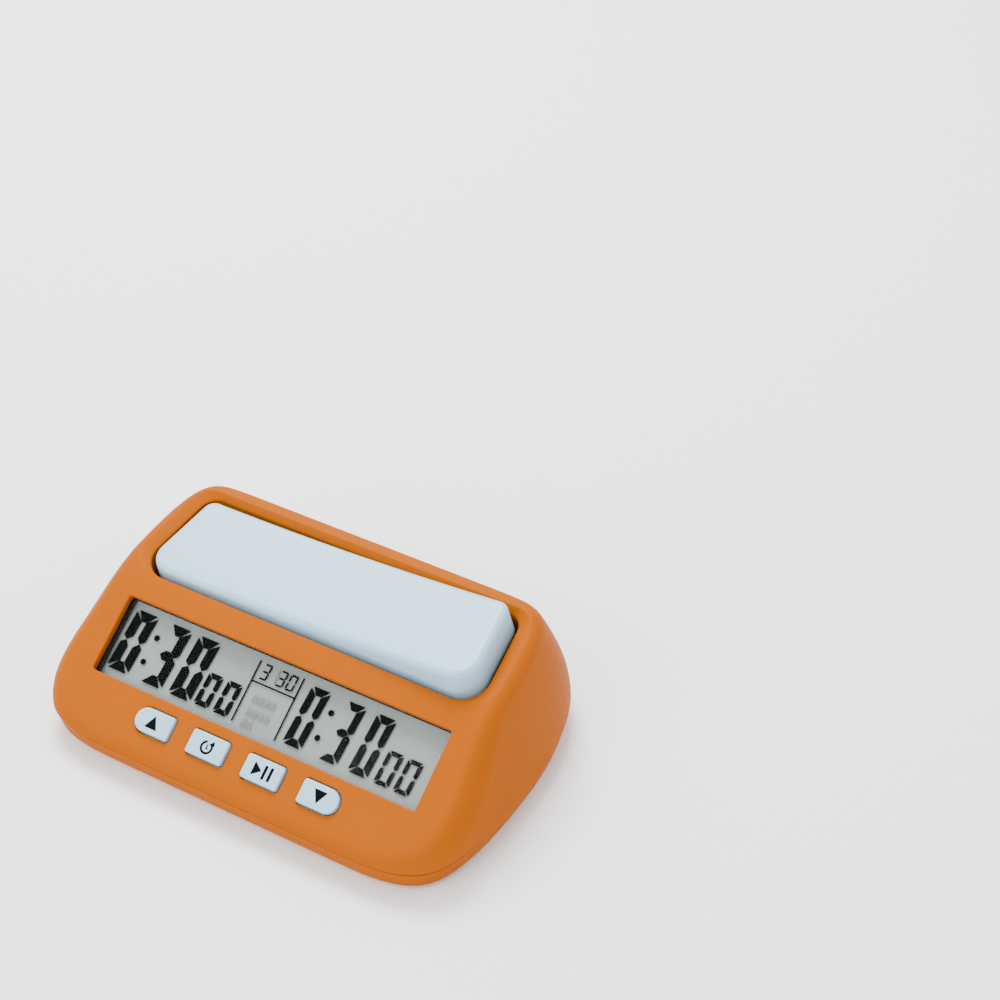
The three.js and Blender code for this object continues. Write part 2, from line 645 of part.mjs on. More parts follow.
function caseScrew([x, y]) {
  const seat = BASE_Z + 0.1;
  const head = post(x, y, seat, seat + SCREW.headHeight - 0.1, SCREW.head, WORLD, 14);
  const slotA = block(x - 1.5, x + 1.5, y - 0.3, y + 0.3, 0, seat + 0.8);
  const slotB = block(x - 0.3, x + 0.3, y - 1.5, y + 1.5, 0, seat + 0.8);
  return head.add(post(x, y, seat + 1, SCREW.top, SCREW.shaft, WORLD, 10)).subtract(slotA).subtract(slotB);
}

function boardScrew([x, y]) {
  const seat = BOARD.bottom - GAP;
  const head = post(x, y, seat - 1.4, seat, 2, PANEL_FRAME, 12);
  return head.add(post(x, y, seat - 0.5, -5, 0.9, PANEL_FRAME, 8));
}

const foot = ([x, y]) => post(x, y, FOOT.bottom, FOOT.top, FOOT.radius, WORLD, 20);

function powerSwitch() {
  const { x, y } = POWER;
  const can = block(x - 6, x + 6, y - 3.2, y + 3.2, FLOOR_TOP + GAP, FLOOR_TOP + 5);
  return can.subtract(block(x - 4, x + 4, y - 1.5, y + 1.5, 0, FLOOR_TOP + 3.5));
}

function powerKnob() {
  const start = POWER.x - POWER.travel / 2;
  return block(start - 1.7, start + 1.7, POWER.y - 1.2, POWER.y + 1.2, BASE_Z + 0.2, FLOOR_TOP + 3);
}

// ---- leads, from the battery contacts and the lever's board to the main board

function panelPoint(x, y, z) {
  return new THREE.Vector3(x, y, z).applyMatrix4(PANEL_FRAME).toArray();
}

function topPoint(x, y, z) {
  return new THREE.Vector3(x, y, z).applyMatrix4(TOP_FRAME).toArray();
}

function batteryLead(side) {
  const x = side * (BAY.half - 2.5);
  const path = [
    [x, CELL.y, BAY.top - 1.5],
    [x, CELL.y, BAY.top + 2.6],
    [side * 26, 16, 24.5],
    [side * 16, -2, 13],
    panelPoint(side * 12, 10, BOARD.bottom - 5),
    panelPoint(side * 12, 6, BOARD.bottom - GAP),
  ];
  return solid(tube(path, 0.65));
}

function leverLead() {
  const path = [
    topPoint(-9 - GAP, 22, -13),
    topPoint(-12, 22, -12.6),
    topPoint(-14, 22, -15.4),
    topPoint(-16, 15, -19),
    panelPoint(-16, 22, BOARD.bottom - 4),
    panelPoint(-16, 20, BOARD.bottom - GAP),
  ];
  return solid(tube(path, 0.65));
}

// ---- assembly

const clock = new THREE.Group();
clock.name = "chess_clock";

function place(name, shape, color, roughness = 0.5, metalness = 0) {
  const flat = surfaceOf(shape).toNonIndexed();
  flat.computeVertexNormals();
  const mesh = new THREE.Mesh(flat, new THREE.MeshStandardMaterial({ color, roughness, metalness }));
  mesh.name = name;
  clock.add(mesh);
}

place("upper_shell", upperShell(), ORANGE);
place("lower_shell", lowerShell(), ORANGE);
place("display_window", displayWindow(), 0xe8eef0, 0.1);
place("display_gasket", displayGasket(), BLACK, 0.9);
place("lcd_glass", lcdGlass(), 0xb9beba, 0.3);
place("lcd_holder", lcdHolder(), WHITE);
Object.entries(zebraRows).forEach(([name, y]) => place(`zebra_strip_${name}`, zebraStrip(y), 0x55585c, 0.8));
place("main_board", mainBoard(), BOARD_GREEN);
place("controller_chip", underBoard(-6, 6, 8, 20, 1.6), BLACK);
place("crystal", crystal(), STEEL, 0.3, 1);
place("buzzer", buzzer(), BLACK);

KEY_NAMES.forEach((name, i) => {
  place(`key_${name}`, key(i), WHITE);
  place(`key_switch_${name}`, keySwitch(i), BLACK);
  place(`key_plunger_${name}`, keyPlunger(i), 0x8a3030);
});

place("lever", lever(), WHITE);
place("pivot_pin", pivotPin(), STEEL, 0.3, 1);
place("lever_board", leverBoard(), BOARD_GREEN);
[["left", -1], ["right", 1]].forEach(([name, side]) => {
  place(`lever_switch_${name}`, leverSwitch(side), BLACK);
  place(`lever_plunger_${name}`, leverPlunger(side), 0x8a3030);
});

place("battery_cell", batteryCell(), 0x3f5f8a, 0.4);
place("battery_spring", batterySpring(), STEEL, 0.3, 1);
place("battery_contact", batteryContact(), STEEL, 0.3, 1);
place("battery_door", batteryDoor(), ORANGE);
place("battery_lead_plus", batteryLead(1), 0xb02020);
place("battery_lead_minus", batteryLead(-1), BLACK);
place("lever_lead", leverLead(), 0xc8c8c8);

place("power_switch", powerSwitch(), STEEL, 0.4, 1);
place("power_knob", powerKnob(), BLACK);
FOOT.places.forEach((spot, i) => place(`foot_${i + 1}`, foot(spot), 0x2a2a2c, 0.9));
CASE_SCREWS.forEach((spot, i) => place(`case_screw_${i + 1}`, caseScrew(spot), STEEL, 0.3, 1));
BOARD_SCREWS.forEach((spot, i) => place(`board_screw_${i + 1}`, boardScrew(spot), STEEL, 0.3, 1));

export default clock;
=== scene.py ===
"""Looks of the digital chess clock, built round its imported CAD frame. Lengths below are in millimetres."""

import json
import math

import bpy
import numpy as np
from mathutils import Matrix, Vector


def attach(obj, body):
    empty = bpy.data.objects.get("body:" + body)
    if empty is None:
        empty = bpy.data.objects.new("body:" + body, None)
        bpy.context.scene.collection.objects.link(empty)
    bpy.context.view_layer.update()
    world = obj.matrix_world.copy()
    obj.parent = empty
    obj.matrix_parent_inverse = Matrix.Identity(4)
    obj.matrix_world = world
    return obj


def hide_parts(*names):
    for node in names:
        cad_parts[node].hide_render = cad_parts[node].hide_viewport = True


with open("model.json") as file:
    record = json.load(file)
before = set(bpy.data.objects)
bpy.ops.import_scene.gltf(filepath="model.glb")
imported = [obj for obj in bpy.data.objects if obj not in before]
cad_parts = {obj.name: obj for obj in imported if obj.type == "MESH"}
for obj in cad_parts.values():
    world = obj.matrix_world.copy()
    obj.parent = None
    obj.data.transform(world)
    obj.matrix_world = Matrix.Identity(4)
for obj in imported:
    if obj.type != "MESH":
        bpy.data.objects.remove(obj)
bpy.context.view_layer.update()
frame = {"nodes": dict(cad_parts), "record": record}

MM = 0.001
GAP = 0.3

# Casing: the same driving sizes as the CAD model
SEAM_Z = 8.35
BASE_Z = 1.2
WALL = 2.0
FLOOR_TOP = BASE_Z + WALL
SEAM_ROLL = 0.45
BASE_LEAN, BASE_CURL = 1.4, 2.0
LIP_INSET = 3.2
SEAM = {
    "half_width": 75.0, "front": -51.5, "back": 52.2,
    "front_power": (10.3, 2.5), "back_power": (6.5, 1.95),
}
RIDGE = {
    "half_width": 64.3, "front": -51, "back": 33.4,
    "front_power": (19, 9.6), "back_power": (17.8, 3),
}
RIDGE_Z = 44.0
FLARE_WIDTH = 0.9
PANEL = {"slope": math.radians(32.6), "y": -35.3, "z": 20.3}
TOP = {"slope": math.radians(9.9), "y": -6.6, "z": 38.65}
CREASE_BLEND, TOP_BLEND, SIDE_BLEND = 3.0, 4.0, 8.1
DOME_CENTRE = np.array([0.0, 8.0, SEAM_Z + GAP / 2])
AROUND = 480

# Display and keys, in the panel's frame: x across, y up the slope, z outwards
WINDOW = {"half": 57.0, "height": 24.6}
LENS = (-58.6, 58.6, -1.3, 26.0, -2.9, -2.3)
LCD = (-58.0, 58.0, -1.2, 25.8, -6.2, -4.75)
INK_LOW, INK_HIGH, GHOST_HIGH = -4.3, -4.24, -4.26
KEY = {"pitch": 19.54, "width": 12.7, "height": 7.4, "y": -7.33, "proud": 1.0, "corner": 0.9}
KEY_NAMES = ("up", "reset", "start_pause", "down")
KEY_GAP = 0.4

# Lever and its well, in the ridge's frame: x across, y backwards, z outwards
LEVER = {
    "front": 0.8, "back": 32.6, "front_half": 59.2, "back_half": 55.1,
    "front_corner": 8.0, "back_corner": 4.5,
}
LEVER_TOP, LEVER_DIP, LEVER_FOOT, LEVER_SKIRT = 3.9, 2.1, -7.5, -3.0
LEVER_WALL, LEVER_EDGE, LEVER_DRAFT, LEVER_END = 1.8, 2.0, 0.6, 13.0
WELL = {
    "front": -0.2, "back": 33.7, "front_half": 60.3, "back_half": 56.2,
    "front_corner": 8.8, "back_corner": 5.2,
}
WELL_FLOOR, WELL_MOUTH = -14.0, -1.6
FLARE_SIDE, FLARE_FRONT, FLARE_BACK = 4.2, 1.3, 2.0
PIVOT_Y, PIVOT_Z, TILT = 18.5, -4.5, math.radians(3.4)
HUB = (-5.6, 5.6, 9.1, 26.9)
LUG = {"half": 3.6, "thickness": 2.4, "top": -2.2, "places": (6.3, 27.3)}
TUB_TOP, TUB_WALL = -2.6, 1.6

# Underside
BAY = (-30.2, 30.2, 17.8, 34.2, 19.4)
DOOR = (-31.6, 31.6, 16.2, 35.8, 3.0)
FEET = ((-58, -38), (58, -38), (-54, 36), (54, 36))
CASE_SCREWS = ((-46, -43.2), (46, -43.2), (-61, 22), (61, 22))
POWER = (-22.0, 2.0)


# ---- frames and small mesh tools

def slope_frame(face):
    """The matrix from a sloping face's own frame to the clock's, in millimetres."""
    along = Vector((0, math.cos(face["slope"]), math.sin(face["slope"])))
    out = Vector((0, -math.sin(face["slope"]), math.cos(face["slope"])))
    turn = Matrix((Vector((1, 0, 0)), along, out)).transposed().to_4x4()
    return Matrix.Translation((0, face["y"], face["z"])) @ turn


PANEL_FRAME = slope_frame(PANEL)
TOP_FRAME = slope_frame(TOP)
PIVOT = Matrix.Translation((0, PIVOT_Y, PIVOT_Z))
LEVER_FRAME = TOP_FRAME @ PIVOT @ Matrix.Rotation(-TILT, 4, "Y") @ PIVOT.inverted()
WORLD = Matrix.Identity(4)


def mesh_object(name, points, faces, place=WORLD, smooth_angle=35):
    """A mesh object from points in millimetres, smooth except across edges sharper than the angle."""
    points = np.asarray(points, float)
    turn = np.array(place.to_3x3())
    shift = np.array(place.translation)
    mesh = bpy.data.meshes.new(name)
    mesh.from_pydata(((points @ turn.T + shift) * MM).tolist(), [], faces)
    mesh.polygons.foreach_set("use_smooth", [True] * len(mesh.polygons))
    mesh.set_sharp_from_angle(angle=math.radians(smooth_angle))
    thing = bpy.data.objects.new(name, mesh)
    bpy.context.scene.collection.objects.link(thing)
    return thing


def skin(rings, closed_ends=True):
    """Points and faces of a tube through rings of equal counts, each end closed by one face."""
    rings = np.asarray(rings, float)
    levels, count = rings.shape[:2]
    faces = []
    for level in range(levels - 1):
        low = level * count
        for i in range(count):
            j = (i + 1) % count
            faces.append((low + i, low + j, low + count + j, low + count + i))
    if closed_ends:
        faces.append(tuple(range(count - 1, -1, -1)))
        faces.append(tuple(range((levels - 1) * count, levels * count)))
    return rings.reshape(-1, 3), faces


def box_mesh(x0, x1, y0, y1, z0, z1):
    ring = [(x0, y0), (x1, y0), (x1, y1), (x0, y1)]
    return skin([[(x, y, z) for x, y in ring] for z in (z0, z1)])


def disc_rings(x, y, profile, sides=40):
    """Rings round a vertical axis from (radius, z) pairs."""
    angles = np.linspace(0, 2 * math.pi, sides, endpoint=False)
    across, along = np.cos(angles), np.sin(angles)
    return [np.stack([x + r * across, y + r * along, np.full(sides, z)], 1) for r, z in profile]


def rounded(corners, steps=10, spans=(1, 1, 1, 1)):
    """A counter-clockwise outline with rounded corners [x, y, radius], its straight runs cut into spans."""
    arcs = []
    for i, (x, y, radius) in enumerate(corners):
        corner = Vector((x, y))
        back = (Vector(corners[i - 1][:2]) - corner).normalized()
        ahead = (Vector(corners[(i + 1) % len(corners)][:2]) - corner).normalized()
        half = back.angle(ahead) / 2
        middle = (back + ahead).normalized()
        centre = corner + middle * (radius / math.sin(half))
        spread = math.pi / 2 - half
        start = math.atan2(-middle.y, -middle.x) - spread
        angles = [start + 2 * spread * k / steps for k in range(steps + 1)]
        arcs.append([centre + Vector((math.cos(a), math.sin(a))) * radius for a in angles])
    outline = []
    for i, arc in enumerate(arcs):
        outline += arc
        following = arcs[(i + 1) % len(arcs)][0]
        outline += [arc[-1].lerp(following, k / spans[i]) for k in range(1, spans[i])]
    return np.array([tuple(p) for p in outline])


def rectangle(x0, x1, y0, y1, radius, steps=8):
    return rounded([(x0, y0, radius), (x1, y0, radius), (x1, y1, radius), (x0, y1, radius)], steps)


def lever_outline(size, inset, spans=(1, 1, 1, 1), steps=16):
    front = max(size["front_corner"] - inset, 0.5)
    back = max(size["back_corner"] - inset, 0.5)
    return rounded([
        (-size["front_half"] + inset, size["front"] + inset, front),
        (size["front_half"] - inset, size["front"] + inset, front),
        (size["back_half"] - inset, size["back"] - inset, back),
        (-size["back_half"] + inset, size["back"] - inset, back),
    ], steps, spans)


def at_height(outline, z):
    return np.column_stack([outline, np.full(len(outline), float(z))])


def outward(outline):
    """Unit vectors pointing out of a counter-clockwise outline, one for each of its points."""
    run = np.roll(outline, -1, 0) - np.roll(outline, 1, 0)
    run /= np.linalg.norm(run, axis=1, keepdims=True)
    return np.column_stack([run[:, 1], -run[:, 0]])


def joined(name, parts, place=WORLD):
    """One mesh object from several (points, faces) pairs."""
    points, faces, start = [], [], 0
    for part_points, part_faces in parts:
        points.append(np.asarray(part_points, float))
        faces += [tuple(start + i for i in face) for face in part_faces]
        start += len(part_points)
    return mesh_object(name, np.concatenate(points), faces, place)


def cut(thing, cutters, smooth_angle=35):
    """Cuts the cutters out of a piece and removes them."""
    for cutter in cutters:
        step = thing.modifiers.new("cut", "BOOLEAN")
        step.object = cutter
        step.operation = "DIFFERENCE"
        step.solver = "EXACT"
    graph = bpy.context.evaluated_depsgraph_get()
    done = bpy.data.meshes.new_from_object(thing.evaluated_get(graph))
    thing.modifiers.clear()
    thing.data = done
    done.polygons.foreach_set("use_smooth", [True] * len(done.polygons))
    done.set_sharp_from_angle(angle=math.radians(smooth_angle))
    for cutter in cutters:
        bpy.data.objects.remove(cutter)


# ---- casing surface

def smooth_max(a, b, width):
    overlap = np.maximum(width - np.abs(a - b), 0) / width
    return np.maximum(a, b) + overlap * overlap * width / 4


def outside_sides(x, y, z):
    """Distance outside the casing's sides: a barrel-sided rectangle that shrinks from seam to ridge."""
    left = np.maximum(1 - np.clip((z - SEAM_Z) / (RIDGE_Z - SEAM_Z), 0, 1.3), 0)
    rise = 1 - left ** FLARE_WIDTH
    rise_back = 1 - left
    behind = y > 0

    def mix(name, index=None, share=rise):
        low, high = (SEAM[name], RIDGE[name]) if index is None else (SEAM[name][index], RIDGE[name][index])
        return low + (high - low) * share

    length = np.where(behind, mix("back", share=rise_back), -mix("front"))
    power_x = np.where(behind, mix("back_power", 0), mix("front_power", 0))
    power_y = np.where(behind, mix("back_power", 1), mix("front_power", 1))
    half_width = mix("half_width")
    across = np.abs(x) / half_width
    along = np.abs(y) / length
    slope_x = power_x * across ** (power_x - 1) / half_width
    slope_y = power_y * along ** (power_y - 1) / length
    return (across ** power_x + along ** power_y - 1) / np.maximum(np.hypot(slope_x, slope_y), 0.02)


def above(face, y, z):
    return (z - face["z"]) * math.cos(face["slope"]) - (y - face["y"]) * math.sin(face["slope"])


def outside_case(x, y, z):
    """Distance outside the whole casing: sides, display panel and ridge run smoothly together."""
    lid = smooth_max(above(PANEL, y, z), above(TOP, y, z), CREASE_BLEND)
    forward = np.clip((TOP["y"] + 6 - y) / 20, 0, 1)
    sideways = np.clip((np.abs(x) / SEAM["half_width"] - 0.62) / 0.3, 0, 1)
    sideways = sideways * sideways * (3 - 2 * sideways)
    width = TOP_BLEND + (SIDE_BLEND - TOP_BLEND) * forward * sideways
    return smooth_max(outside_sides(x, y, z), lid, width)


def surface_points(turns, lifts, depth):
    """Where rays from the middle of the casing come within depth of its surface."""
    flat = np.cos(lifts)
    rays = np.stack([np.cos(turns) * flat, np.sin(turns) * flat, np.sin(lifts)], -1)
    inside = np.full(lifts.shape, 1.0)
    outside = np.full(lifts.shape, 120.0)
    for _ in range(34):
        reach = (inside + outside) / 2
        p = DOME_CENTRE + rays * reach[..., None]
        under = outside_case(p[..., 0], p[..., 1], p[..., 2]) < -depth
        inside = np.where(under, reach, inside)
        outside = np.where(under, outside, reach)
    return DOME_CENTRE + rays * inside[..., None]


def edge_lifts(turns):
    """How far each ray is lifted to reach the edge between the sides and the lid."""
    low = np.zeros(turns.shape)
    high = np.full(turns.shape, math.pi / 2)
    for _ in range(24):
        lift = (low + high) / 2
        x, y, z = np.moveaxis(surface_points(turns, lift, 0), -1, 0)
        on_side = outside_sides(x, y, z) > np.maximum(above(PANEL, y, z), above(TOP, y, z))
        low = np.where(on_side, lift, low)
        high = np.where(on_side, high, lift)
    return low


def dome_rings(depth, around, side_steps, lid_steps):
    turns = np.linspace(0, 2 * math.pi, around, endpoint=False)
    edges = edge_lifts(turns)
    shares = 1 - (1 - np.linspace(0, 1, side_steps)) ** 1.5
    side = 0.006 + (edges[None] - 0.006) * shares[:, None]
    over = np.linspace(0, 1, lid_steps + 1)[1:] ** 1.6 * 0.985
    lid = edges[None] + (math.pi / 2 - edges[None]) * over[:, None]
    lifts = np.concatenate([side, lid])
    return surface_points(np.broadcast_to(turns, lifts.shape), lifts, depth)


def seam_ring(inset, z, around=AROUND):
    """The casing's outline at the seam, moved inwards by inset and put at height z."""
    turns = np.linspace(0, 2 * math.pi, around, endpoint=False)
    outline = surface_points(turns, np.zeros(around), 0)[:, :2]
    return at_height(outline - outward(outline) * inset, z)


# ---- casing pieces

def rim_cutter(outline, place, deep=-8.0, radius=0.5):
    """A plug that cuts an opening of this outline and rolls its rim over."""
    out = outward(outline)
    rings = [at_height(outline, deep), at_height(outline, -radius)]
    for turn in np.radians([15, 30, 45, 60, 75]):
        rings.append(at_height(outline + out * radius * (1 - math.cos(turn)), -radius * (1 - math.sin(turn))))
    rings.append(at_height(outline + out * radius * 0.74, 5))
    return mesh_object("cutter", *skin(rings), place)


def key_outline(index, grow, steps=10):
    x = (index - 1.5) * KEY["pitch"]
    half = KEY["width"] / 2 + grow
    tall = KEY["height"] / 2 + grow
    square = KEY["corner"] + max(grow, -0.5)
    left = tall - 0.02 if index == 0 else square
    right = tall - 0.02 if index == 3 else square
    low, high = KEY["y"] - tall, KEY["y"] + tall
    return rounded([
        (x - half, low, left),
        (x + half, low, right),
        (x + half, high, right),
        (x - half, high, left),
    ], steps)


def well_cutter():
    """The lever's opening: straight walls below, a soft funnel above, wide at the ends."""
    outline = lever_outline(WELL, 0, steps=24)
    wide = dict(WELL)
    wide["front"] -= FLARE_FRONT
    wide["back"] += FLARE_BACK
    wide["front_half"] += FLARE_SIDE
    wide["back_half"] += FLARE_SIDE
    wide["back_corner"] += FLARE_BACK
    mouth = lever_outline(wide, 0, steps=24)
    rings = [at_height(outline, WELL_FLOOR)]
    for share, level in ((0, 1.35), (0.02, 1.12), (0.08, 0.96), (0.2, 0.8), (0.5, 0.47), (0.75, 0.21),
                         (0.88, 0.09), (0.96, 0.03), (1.0, 0.01)):
        rings.append(at_height(outline + (mouth - outline) * share, WELL_MOUTH * level))
    rings.append(at_height(mouth, 6))
    return mesh_object("cutter", *skin(rings), TOP_FRAME)


def well_tub():
    """The floor and walls under the lever's opening, with the two lugs that hold its pin."""
    inner = lever_outline(WELL, -0.1)
    outer = lever_outline(WELL, -TUB_WALL)
    tub = skin([
        at_height(inner, WELL_FLOOR),
        at_height(inner, TUB_TOP),
        at_height(outer, TUB_TOP),
        at_height(outer, WELL_FLOOR - TUB_WALL),
    ])
    half, foot, top = LUG["half"], WELL_FLOOR - 0.5, LUG["top"]
    lugs = [box_mesh(-half, half, y, y + LUG["thickness"], foot, top) for y in LUG["places"]]
    return joined("tub", [tub, *lugs], TOP_FRAME)


def upper_case():
    outer = dome_rings(0, AROUND, 34, 60)
    inner = dome_rings(WALL, AROUND, 12, 22)[::-1]
    roll = []
    for turn in np.radians([0, 30, 60]):
        height = SEAM_Z + GAP / 2 + SEAM_ROLL * (1 - math.cos(turn))
        roll.append(seam_ring(SEAM_ROLL * (1 - math.sin(turn)), height))
    case = mesh_object("upper_case", *skin(np.concatenate([inner, roll, outer])))
    window = rectangle(-WINDOW["half"], WINDOW["half"], 0, WINDOW["height"], 0.8)
    cutters = [rim_cutter(window, PANEL_FRAME), well_cutter()]
    cutters += [rim_cutter(key_outline(i, KEY_GAP), PANEL_FRAME, radius=0.3) for i in range(4)]
    cut(case, cutters)
    return merged("upper_case", [case, well_tub()])


def merged(name, things):
    """Several objects as one."""
    bpy.ops.object.select_all(action="DESELECT")
    for thing in things:
        thing.select_set(True)
    bpy.context.view_layer.objects.active = things[0]
    bpy.ops.object.join()
    things[0].name = name
    things[0].data.name = name
    return things[0]


def lower_case():
    rings = []
    for height in (0, 0.1, 0.3, 0.6, 1.0, 1.5, 2.0, 3.0, 4.5, 6.0, 6.7):
        lean = BASE_LEAN * (1 - height / (SEAM_Z - BASE_Z))
        drop = max(BASE_CURL - height, 0)
        curl = BASE_CURL - math.sqrt(BASE_CURL ** 2 - drop ** 2)
        rings.append(seam_ring(0.4 + lean + curl, BASE_Z + height))
    rim = SEAM_Z - GAP / 2
    rings += [seam_ring(0.48, rim - 0.45), seam_ring(0.62, rim - 0.25), seam_ring(0.9, rim - 0.15)]
    rings += [seam_ring(LIP_INSET, rim), seam_ring(LIP_INSET + 0.2, rim - 0.2)]
    rings.append(seam_ring(LIP_INSET + WALL, FLOOR_TOP))
    case = mesh_object("lower_case", *skin(rings))
    x0, x1, y0, y1, top = DOOR
    doorway = rectangle(x0 - GAP, x1 + GAP, y0 - GAP, y1 + GAP, 1.2)
    knob_x, knob_y = POWER
    hollows = [skin([at_height(doorway, z) for z in (0, top)])]
    hollows.append(box_mesh(*BAY[:4], 0.5, 9))
    hollows.append(box_mesh(knob_x - 4, knob_x + 4, knob_y - 1.7, knob_y + 1.7, 0, 5))
    for x, y in CASE_SCREWS:
        hollows.append(skin(disc_rings(x, y, ((3.1, 0), (3.1, 1.21), (2.7, 1.6), (2.7, 3.0)))))
    for x, y in FEET:
        hollows.append(skin(disc_rings(x, y, ((5.6, 0), (5.6, 1.21), (5.3, 1.5), (5.3, 2.2)))))
    cut(case, [mesh_object("cutter", *hollow) for hollow in hollows])
    return merged("lower_case", [case, mesh_object("bay", *battery_bay())])


def battery_bay():
    """Thin walls and a ceiling round the cell, open below."""
    x0, x1, y0, y1, top = BAY
    inside = rectangle(x0, x1, y0, y1, 0.6, 3)
    outside = rectangle(x0 - 1.4, x1 + 1.4, y0 - 1.4, y1 + 1.4, 1.2, 3)
    low = FLOOR_TOP - 0.4
    walls = [at_height(inside, top), at_height(inside, low), at_height(outside, low)]
    return skin(walls + [at_height(outside, top + 1.4)])


# ---- display

def display_window():
    x0, x1, y0, y1, low, high = LENS
    outline = rectangle(x0, x1, y0, y1, 1.0)
    face = rectangle(x0 + 0.1, x1 - 0.1, y0 + 0.1, y1 - 0.1, 0.9)
    rings = [at_height(outline, low), at_height(outline, high - 0.1), at_height(face, high)]
    return mesh_object("display_lens", *skin(rings), PANEL_FRAME)


def lcd_panel():
    x0, x1, y0, y1, low, high = LCD
    outline = rectangle(x0, x1, y0, y1, 0.4, 3)
    rings = [at_height(outline, low), at_height(outline, high)]
    return mesh_object("lcd_panel", *skin(rings), PANEL_FRAME)


SEGMENTS = {"0": "abcdef", "3": "abcdg"}
SLANT = 0.055
BOLD = {"width": 7.9, "low": 2.7, "high": 22.2, "stroke": 3.1, "gap": 0.04}
BOLD_SMALL = {"width": 5.2, "low": 3.0, "high": 13.4, "stroke": 1.65, "gap": 0.04}
THIN = {"width": 6.6, "low": 3.0, "high": 21.6, "stroke": 2.35, "gap": 0.12}
THIN_SMALL = {"width": 5.1, "low": 3.0, "high": 13.4, "stroke": 1.4, "gap": 0.1}
TINY = {"width": 2.7, "low": 17.2, "high": 22.2, "stroke": 0.55, "gap": 0.08}
PLAYERS = (
    {"large": BOLD, "small": BOLD_SMALL, "hours": -51.3, "dots": -44.4, "minutes": (-38.7, -28.1),
     "seconds": (-20.5, -13.6)},
    {"large": THIN, "small": THIN_SMALL, "hours": 12.4, "dots": 18.8, "minutes": (24.7, 35.0),
     "seconds": (42.7, 49.3)},
)
MOVES = (("3", -6.2), ("3", -0.4), ("0", 3.1))
DIVIDERS = ((-9.5, -9.0, 2.8, 22.5), (5.9, 6.4, 2.4, 22.5), (-9.2, 6.1, 15.75, 16.25))


def segment(letter, size):
    """The outline of one segment of a digit centred on x = 0."""
    w, t, g = size["width"] / 2, size["stroke"], size["gap"]
    low, high = size["low"], size["high"]
    mid = (low + high) / 2
    if letter in "ad":
        y, inward = (high, -1) if letter == "a" else (low, 1)
        shape = [(-w + g + 0.2 * t, y), (w - g - 0.2 * t, y), (w - t - g * 0.2, y + inward * t),
                 (-w + t + g * 0.2, y + inward * t)]
        return shape if inward > 0 else shape[::-1]
    if letter == "g":
        h = t / 2
        return [(-w + h + g, mid), (-w + t + g, mid - h), (w - t - g, mid - h), (w - h - g, mid),
                (w - t - g, mid + h), (-w + t + g, mid + h)]
    side = 1 if letter in "bc" else -1
    if letter in "bf":
        y0, y1 = mid + g, high - g - 0.2 * t
        inner_end = y1 - 0.8 * t - 0.2 * g
        shape = [(w, y1), (w - t, inner_end), (w - t, y0 + t / 2), (w - t / 2, y0), (w, y0 + t * 0.35)]
    else:
        y0, y1 = mid - g, low + g + 0.2 * t
        inner_end = y1 + 0.8 * t + 0.2 * g
        shape = [(w, y1), (w, y0 - t * 0.35), (w - t / 2, y0), (w - t, y0 - t / 2), (w - t, inner_end)]
    shape = [(side * x, y) for x, y in shape]
    return shape if area(shape) > 0 else shape[::-1]


def area(shape):
    return sum(x0 * y1 - x1 * y0 for (x0, y0), (x1, y1) in zip(shape, shape[1:] + shape[:1])) / 2


def prism(shape, low, high):
    shape = shape if area(shape) > 0 else shape[::-1]
    return skin([[(x, y, z) for x, y in shape] for z in (low, high)])


def digit(character, x, size):
    mid = (size["low"] + size["high"]) / 2
    for letter in SEGMENTS[character]:
        yield [(px + x + SLANT * (py - mid), py) for px, py in segment(letter, size)]


def dot(x, y, radius, sides=16):
    angles = [2 * math.pi * k / sides for k in range(sides)]
    return [(x + radius * math.cos(a), y + radius * math.sin(a)) for a in angles]


def bar(x0, x1, y0, y1):
    return [(x0, y0), (x1, y0), (x1, y1), (x0, y1)]


def lcd_digits():
    """Both players' times, the move counter's box and its small digits."""
    shapes = []
    for player in PLAYERS:
        tens, ones = player["minutes"]
        for character, x in (("0", player["hours"]), ("3", tens), ("0", ones)):
            shapes += digit(character, x, player["large"])
        for x in player["seconds"]:
            shapes += digit("0", x, player["small"])
        shapes += [dot(player["dots"], 16.3, 0.95), dot(player["dots"] - 0.5, 8.2, 0.95)]
    for character, x in MOVES:
        shapes += digit(character, x, TINY)
    shapes += [bar(*divider) for divider in DIVIDERS]
    return joined("lcd_digits", [prism(shape, INK_LOW, INK_HIGH) for shape in shapes], PANEL_FRAME)


def lcd_ghosts():
    """Segments that are off, faint against the background."""
    shapes = []
    for low, count in ((10.0, 4), (5.9, 4), (2.4, 2)):
        size = {"width": 1.5, "low": low, "high": low + 2.4, "stroke": 0.3, "gap": 0.06}
        for k in range(count):
            for letter in "abcdefg":
                shapes.append([(x - 5.4 + 2.1 * k, y) for x, y in segment(letter, size)])
    size = {**TINY, "stroke": 0.5}
    shapes += [[(x - 3.3, y) for x, y in segment(letter, size)] for letter in "bc"]
    return joined("lcd_ghosts", [prism(shape, INK_LOW, GHOST_HIGH) for shape in shapes], PANEL_FRAME)


# ---- keys

def key_cap(index):
    edge = 0.4
    rings = [at_height(key_outline(index, 0.9), -3.6), at_height(key_outline(index, 0.9), -2.3),
             at_height(key_outline(index, 0), -2.25), at_height(key_outline(index, 0), KEY["proud"] - edge)]
    for turn in np.radians([18, 36, 54, 72, 90]):
        rings.append(at_height(key_outline(index, -edge * (1 - math.cos(turn))),
                               KEY["proud"] - edge * (1 - math.sin(turn))))
    return mesh_object("key_cap_" + KEY_NAMES[index], *skin(rings), PANEL_FRAME, smooth_angle=40)


